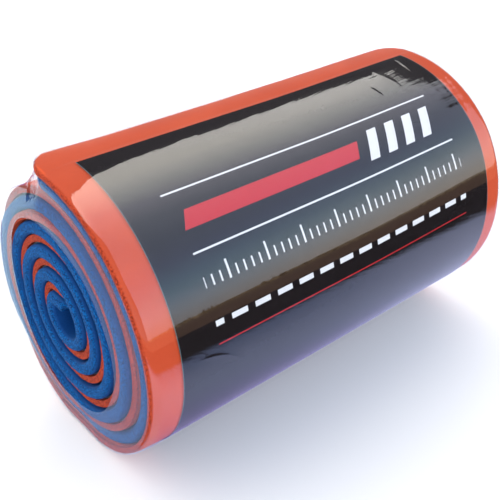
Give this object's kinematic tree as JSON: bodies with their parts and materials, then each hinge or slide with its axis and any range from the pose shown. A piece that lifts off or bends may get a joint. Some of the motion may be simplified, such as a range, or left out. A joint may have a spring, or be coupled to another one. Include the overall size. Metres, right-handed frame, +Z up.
{
  "type": "rolled aluminium foam splint in a clear film sleeve with a printed panel",
  "caption": "Soft aluminium strip padded with blue and orange foam, rolled up and lying on its side in a clear film sleeve with a black printed panel; unrolled, it braces an injured limb.",
  "frame": {"origin": "centre of the bounding box, on the surface that the roll rests on", "axes": "+X along the axis of the roll, +Z up, -Y towards the side that the printed panel faces"},
  "size_m": [0.109, 0.0644, 0.0661],
  "materials": {
    "aluminium_core": "soft rolled aluminium sheet, dull at its cut edge",
    "blue_foam": "closed-cell foam, matte with a fine grain",
    "orange_foam": "closed-cell foam, matte with a fine grain",
    "printed_panel": "even black print",
    "clear_film": "clear shrink film, glossy"
  },
  "bodies": {
    "root": {"aluminium_core": "aluminium_core", "blue_foam": "blue_foam", "orange_foam": "orange_foam", "printed_panel": "printed_panel", "clear_film": "clear_film"}
  },
  "joints": []
}
